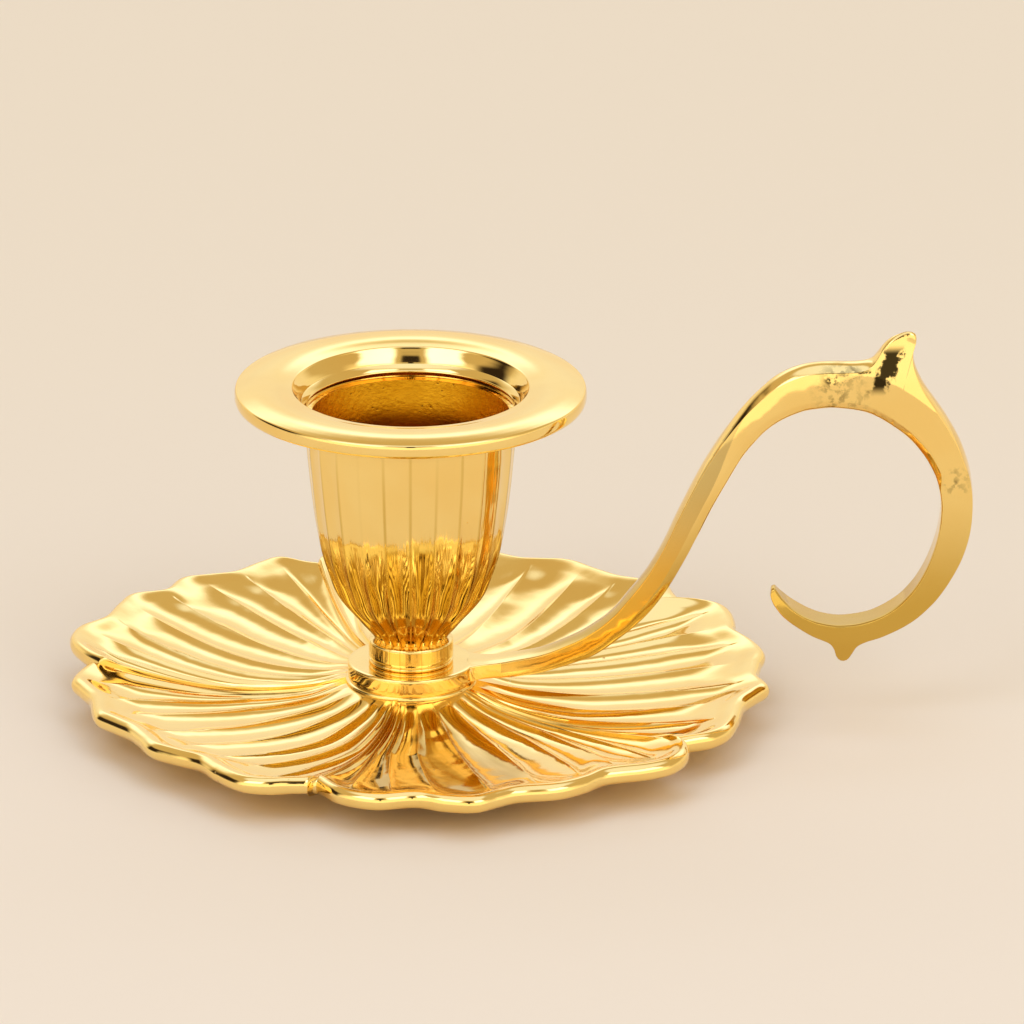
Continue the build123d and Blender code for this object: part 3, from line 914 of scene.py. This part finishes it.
# Radius and height over the eye plate in millimetres: the bell from the band to the lip, the
# socket from the ring's seat to its floor, and the bore for the screw.
BELL = (
    (4.3, 3.0), (4.55, 3.25), (4.8, 3.66), (5.75, 4.75), (6.77, 6.0), (7.95, 7.35), (9.0, 8.72),
    (9.65, 9.85), (10.16, 11.13), (10.97, 13.6), (11.48, 16.1), (11.96, 18.8), (12.38, 22.0),
    (12.68, 24.7), (13.0, 28.2), (13.2, 31.4), (13.7, 33.0), (14.4, 34.0),
)
INSIDE = (
    (12.4, 32.8), (12.3, 32.4), (11.2, 28.0), (11.2, 21.5), (10.2, 15.3), (7.3, 9.2), (3.4, 6.4),
    (0.3, 6.3),
)
BORE = ((2.04, 0.0), (2.04, 5.2), (0.02, 5.2))
SEAT_RADIUS = 13.45
# Heights over which the flutes start, thin out to facets, and end under the lip.
FLUTES_START, FLUTES_THIN, FLUTES_END = (2.6, 3.7), (10.0, 18.5), (31.0, 33.0)
POINTS_PER_FLUTE = 14


def bell_rows(sizes, base):
    """Rows of the fluted bell."""
    count = sizes.flutes * POINTS_PER_FLUTE
    rows = []
    for r, z in curve_through(BELL, 110):
        low = between(FLUTES_START, FLUTES_THIN, z)
        depth = (sizes.flute_depth * low + sizes.facet_depth) / MM
        depth *= 1.0 - smooth_step(*FLUTES_END, z)
        row = []
        for j in range(count):
            a = 2 * math.pi * j / count
            x = (sizes.flutes * j / count) % 1.0
            cut = depth * (1.0 - abs(2.0 * x - 1.0) ** 2.2)
            spot = Vector((math.cos(a) * r, math.sin(a) * r, z * 0.4)) * 0.8
            rr = (r - cut + 0.02 * noise.noise(spot)) * MM
            row.append((rr * math.cos(a), rr * math.sin(a), base + z * MM))
        rows.append(row)
    return rows


class CupOperator(bpy.types.Operator):
    """Build the fluted candle cup over its solid"""
    bl_idname = "chamberstick.cup"
    bl_label = "Candle cup"

    def execute(self, context):
        sizes = context.scene.chamberstick_cup
        finish = context.scene.chamberstick_finish
        gold = polished("cup gold", tuple(finish.gold), finish.polish, pits=0.5, ripple=0.3,
                        reflection_tone=tuple(finish.deep_gold), tones=cup_tones)
        cast = as_cast("cup inside", tuple(finish.cast_gold))
        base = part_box("candle_cup")[0][2]
        f, h, c = sizes.foot_radius / MM, sizes.foot_height / MM, sizes.foot_chamfer / MM
        foot = [(BORE[0][0], 0.0), (f - c, 0.0), (f - c * 0.3, c * 0.3), (f, c), (f, c + 0.15),
                (f - 0.06, c + 0.2), (f - 0.4, c + 0.22), (f - 0.42, c + 0.34),
                (f - 0.06, c + 0.42), (f, c + 0.5), (f + 0.02, h * 0.55), (f, h - 0.2),
                (f - 0.06, h - 0.05), (f - 0.16, h), (4.4, h + 0.06), (3.6, h + 0.07)]
        seat = [BELL[-1], (SEAT_RADIUS, BELL[-1][1]), (SEAT_RADIUS, INSIDE[0][1]), INSIDE[0]]
        shells = [
            grid(bell_rows(sizes, base)),
            turned(along(foot, 0.25), base, 200),
            turned(seat, base, 160),
            turned(curve_through(INSIDE, 60), base, 160, 1, (False, True)),
            turned(BORE, base, 48),
        ]
        make_piece("fluted_cup", shells, [gold, cast], "base", "candle_cup")
        return {"FINISHED"}


# Drip ring

class RingOperator(bpy.types.Operator):
    """Build the drip ring over its solid"""
    bl_idname = "chamberstick.ring"
    bl_label = "Drip ring"

    def execute(self, context):
        sizes = context.scene.chamberstick_ring
        finish = context.scene.chamberstick_finish
        gold = polished("ring gold", tuple(finish.gold), finish.polish * 0.8, pits=0.15, ripple=0.2)
        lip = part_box("candle_cup")[1][2]
        r, m = sizes.radius / MM, sizes.mouth / MM
        edge = [(r - 0.35, 0.47), (r - 0.12, 0.62), (r, 1.0), (r, 1.55), (r - 0.06, 1.95),
                (r - 0.12, 2.12), (r - 0.2, 2.2)]
        crown = (edge[-1], (21.0, 2.42), (19.8, 2.66), (18.4, 2.75), (17.0, 2.68), (15.8, 2.46),
                 (m + 0.06, 2.3))
        cove = ((m, 2.25), (m - 0.05, 2.15), (14.45, 1.75), (14.05, 1.2), (13.75, 0.7),
                (13.62, 0.45))
        spigot = [cove[-1], (13.58, 0.42), (13.3, 0.18), (13.05, -0.12), (13.0, -0.2),
                  (12.92, -0.24), (12.9, -0.34), (12.9, -0.8), (12.95, -0.93), (13.05, -0.95),
                  (13.35, -0.95), (13.4, -0.9), (13.4, 0.0), (15.4, 0.0)]
        under = (spigot[-1], (16.2, 0.35), (18.2, 0.85), (20.2, 0.72), edge[0])
        profile = (edge + curve_through(crown, 50, 1) + curve_through(cove, 30)
                   + along(spigot, 0.3) + curve_through(under, 20))
        make_piece("turned_ring", [turned(profile, lip, 256)], [gold],
                   "drip_ring", "drip_ring")
        return {"FINISHED"}


# Screw, washers and felt

class HardwareOperator(bpy.types.Operator):
    """Give the screw, washers and felt their finishes"""
    bl_idname = "chamberstick.hardware"
    bl_label = "Screw, washers and felt"

    def execute(self, context):
        finish = context.scene.chamberstick_finish
        steel = plated_steel("plated steel", tuple(finish.steel))
        felt = felted("green felt", tuple(finish.felt))
        finishes = {"clamp_screw": steel, "plain_washer": steel, "spring_washer": steel,
                    "felt_pad": felt}
        for solid in bpy.data.objects:
            material = finishes.get(solid.name.split(".")[0])
            if material and solid.type == "MESH":
                for holder in solid.material_slots:
                    holder.material = material
        return {"FINISHED"}


# Stage

SWEEP_REACH = 6.0
SENSOR_WIDTH = 36.0
# What the camera looks at: out from the cup's axis, and up from the eye plate's top.
AIM_OUT, AIM_UP = 12.65 * MM, 19.65 * MM
BACK_WALL = (0.93, 0.90, 0.88)
CARD = (0.03, 0.02, 0.015)
SKY_STRENGTH = 1.07


def sky(settings):
    """Studio round the object: pale walls low down, softboxes, and dark cards between them."""
    world = bpy.data.worlds.new("studio")
    bpy.context.scene.world = world
    world.use_nodes = True
    shader = Shader(world.node_tree)
    turn, up = round_axis(shader, shader.node("ShaderNodeTexCoord", output=0))
    side = abs(turn)
    rise = shader.node("ShaderNodeMath", {"operation": "ARCSINE"}, up)

    def band(value, low, high, soft):
        """One between two places in degrees, with edges that soft."""
        low, high, soft = math.radians(low), math.radians(high), math.radians(soft)
        return value.between((low - soft, low + soft), (high - soft, high + soft))

    wall = tuple(settings.floor)
    white = toned(settings.box_tint, settings.box_level)
    cards = (band(side, -20.0, 11.0, 2.5) * band(rise, 36.0, 52.0, 3.0)
             + band(side, -20.0, 3.0, 1.0) * band(rise, 20.0, 36.0, 2.0)
             + band(0.0 - turn, 78.0, 118.0, 8.0) * band(rise, 2.0, 32.0, 5.0))
    tone = shader.mix(rise.step(math.radians(12.0), math.radians(22.0)), wall, tuple(settings.gap))
    for mask, tint in (
            # Front wall, back wall and its strip of light, ceiling, the two front boxes, cards.
            (band(side, -20.0, 70.0, 12.0) * band(rise, -20.0, 32.0, 6.0), toned(wall, 1.5)),
            (band(side, 135.0, 200.0, 16.0) * band(rise, 13.0, 41.0, 7.0), BACK_WALL),
            (band(side, 138.0, 200.0, 14.0) * band(rise, 27.0, 38.0, 5.5), toned(white, 0.68)),
            (rise.step(math.radians(56.0), math.radians(66.0)), toned(white, 0.48)),
            (band(side, 20.0, 62.0, 5.0) * band(rise, 33.0, 57.0, 4.0), white),
            (cards.clamp(), CARD)):
        tone = shader.mix(mask, tone, tint)
    light = shader.node("ShaderNodeBackground", None, tone, SKY_STRENGTH)
    shader.node("ShaderNodeOutputWorld", None, light)


def sweep_paper(tint):
    """Paper with painted shade: a little darker far behind the object, where the light falls off.
    """
    material, shader = new_material("paper sweep")
    place = shader.place()
    away = shader.split(place)[1].step(-0.15, 0.27)
    base = shader.mix(away, tint, toned(tint, 0.945, 0.935, 0.885))
    base = shader.mix(shader.noise(place, 35.0, 3.0) * 0.06, base, toned(tint, 0.85))
    shader.surface(Base_Color=base, Roughness=0.9, Specular_IOR_Level=0.2)
    return material


class StageOperator(bpy.types.Operator):
    """Set the paper sweep, the soft lights and the camera"""
    bl_idname = "chamberstick.stage"
    bl_label = "Stage"

    def execute(self, context):
        settings = context.scene.chamberstick_stage
        scene = context.scene
        scene.view_settings.view_transform = "Standard"
        mesh = bpy.data.meshes.new("paper_sweep")
        corners = [(x * SWEEP_REACH, y * SWEEP_REACH, 0)
                   for x, y in ((-1, -1), (1, -1), (1, 1), (-1, 1))]
        mesh.from_pydata(corners, [], [(0, 1, 2, 3)])
        mesh.materials.append(sweep_paper(tuple(settings.floor)))
        sweep = bpy.data.objects.new("paper_sweep", mesh)
        scene.collection.objects.link(sweep)
        sky(settings)
        camera = bpy.data.cameras.new("camera")
        camera.sensor_width = SENSOR_WIDTH
        camera.lens = SENSOR_WIDTH * settings.distance * settings.scale
        camera.clip_end = 20.0
        holder = bpy.data.objects.new("camera", camera)
        scene.collection.objects.link(holder)
        target = Vector((AIM_OUT, 0.0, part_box("candle_cup")[0][2] + AIM_UP))
        back = Vector((0.0, -math.cos(settings.pitch), math.sin(settings.pitch)))
        holder.location = target + back * settings.distance
        holder.rotation_euler = (-back).to_track_quat("-Z", "Y").to_euler()
        scene.camera = holder
        return {"FINISHED"}


class ChamberstickPanel(bpy.types.Panel):
    """Lists the pieces and their sizes"""
    bl_idname = "VIEW3D_PT_chamberstick"
    bl_label = "Chamberstick"
    bl_space_type = "VIEW_3D"
    bl_region_type = "UI"
    bl_category = "Chamberstick"

    def draw(self, context):
        for operator in OPERATORS:
            self.layout.operator(operator.bl_idname)
        for name in GROUPS:
            group = getattr(context.scene, name)
            box = self.layout.box()
            for key in group.__annotations__:
                box.prop(group, key)


GROUPS = {"chamberstick_dish": DishSizes, "chamberstick_handle": HandleSizes,
          "chamberstick_cup": CupSizes, "chamberstick_ring": RingSizes,
          "chamberstick_finish": Finishes, "chamberstick_stage": StageSettings}
OPERATORS = (StageOperator, DishOperator, HandleOperator, CupOperator, RingOperator,
             HardwareOperator)


def register():
    for group in GROUPS.values():
        bpy.utils.register_class(group)
    for name, group in GROUPS.items():
        setattr(bpy.types.Scene, name, PointerProperty(type=group))
    for operator in OPERATORS:
        bpy.utils.register_class(operator)
    bpy.utils.register_class(ChamberstickPanel)


def unregister():
    bpy.utils.unregister_class(ChamberstickPanel)
    for operator in reversed(OPERATORS):
        bpy.utils.unregister_class(operator)
    for name, group in GROUPS.items():
        delattr(bpy.types.Scene, name)
        bpy.utils.unregister_class(group)


def main():
    """Build every piece and the stage, and note the sizes."""
    register()
    bpy.ops.chamberstick.stage()
    bpy.ops.chamberstick.dish()
    bpy.ops.chamberstick.handle()
    bpy.ops.chamberstick.cup()
    bpy.ops.chamberstick.ring()
    bpy.ops.chamberstick.hardware()


if __name__ == "__main__":
    main()
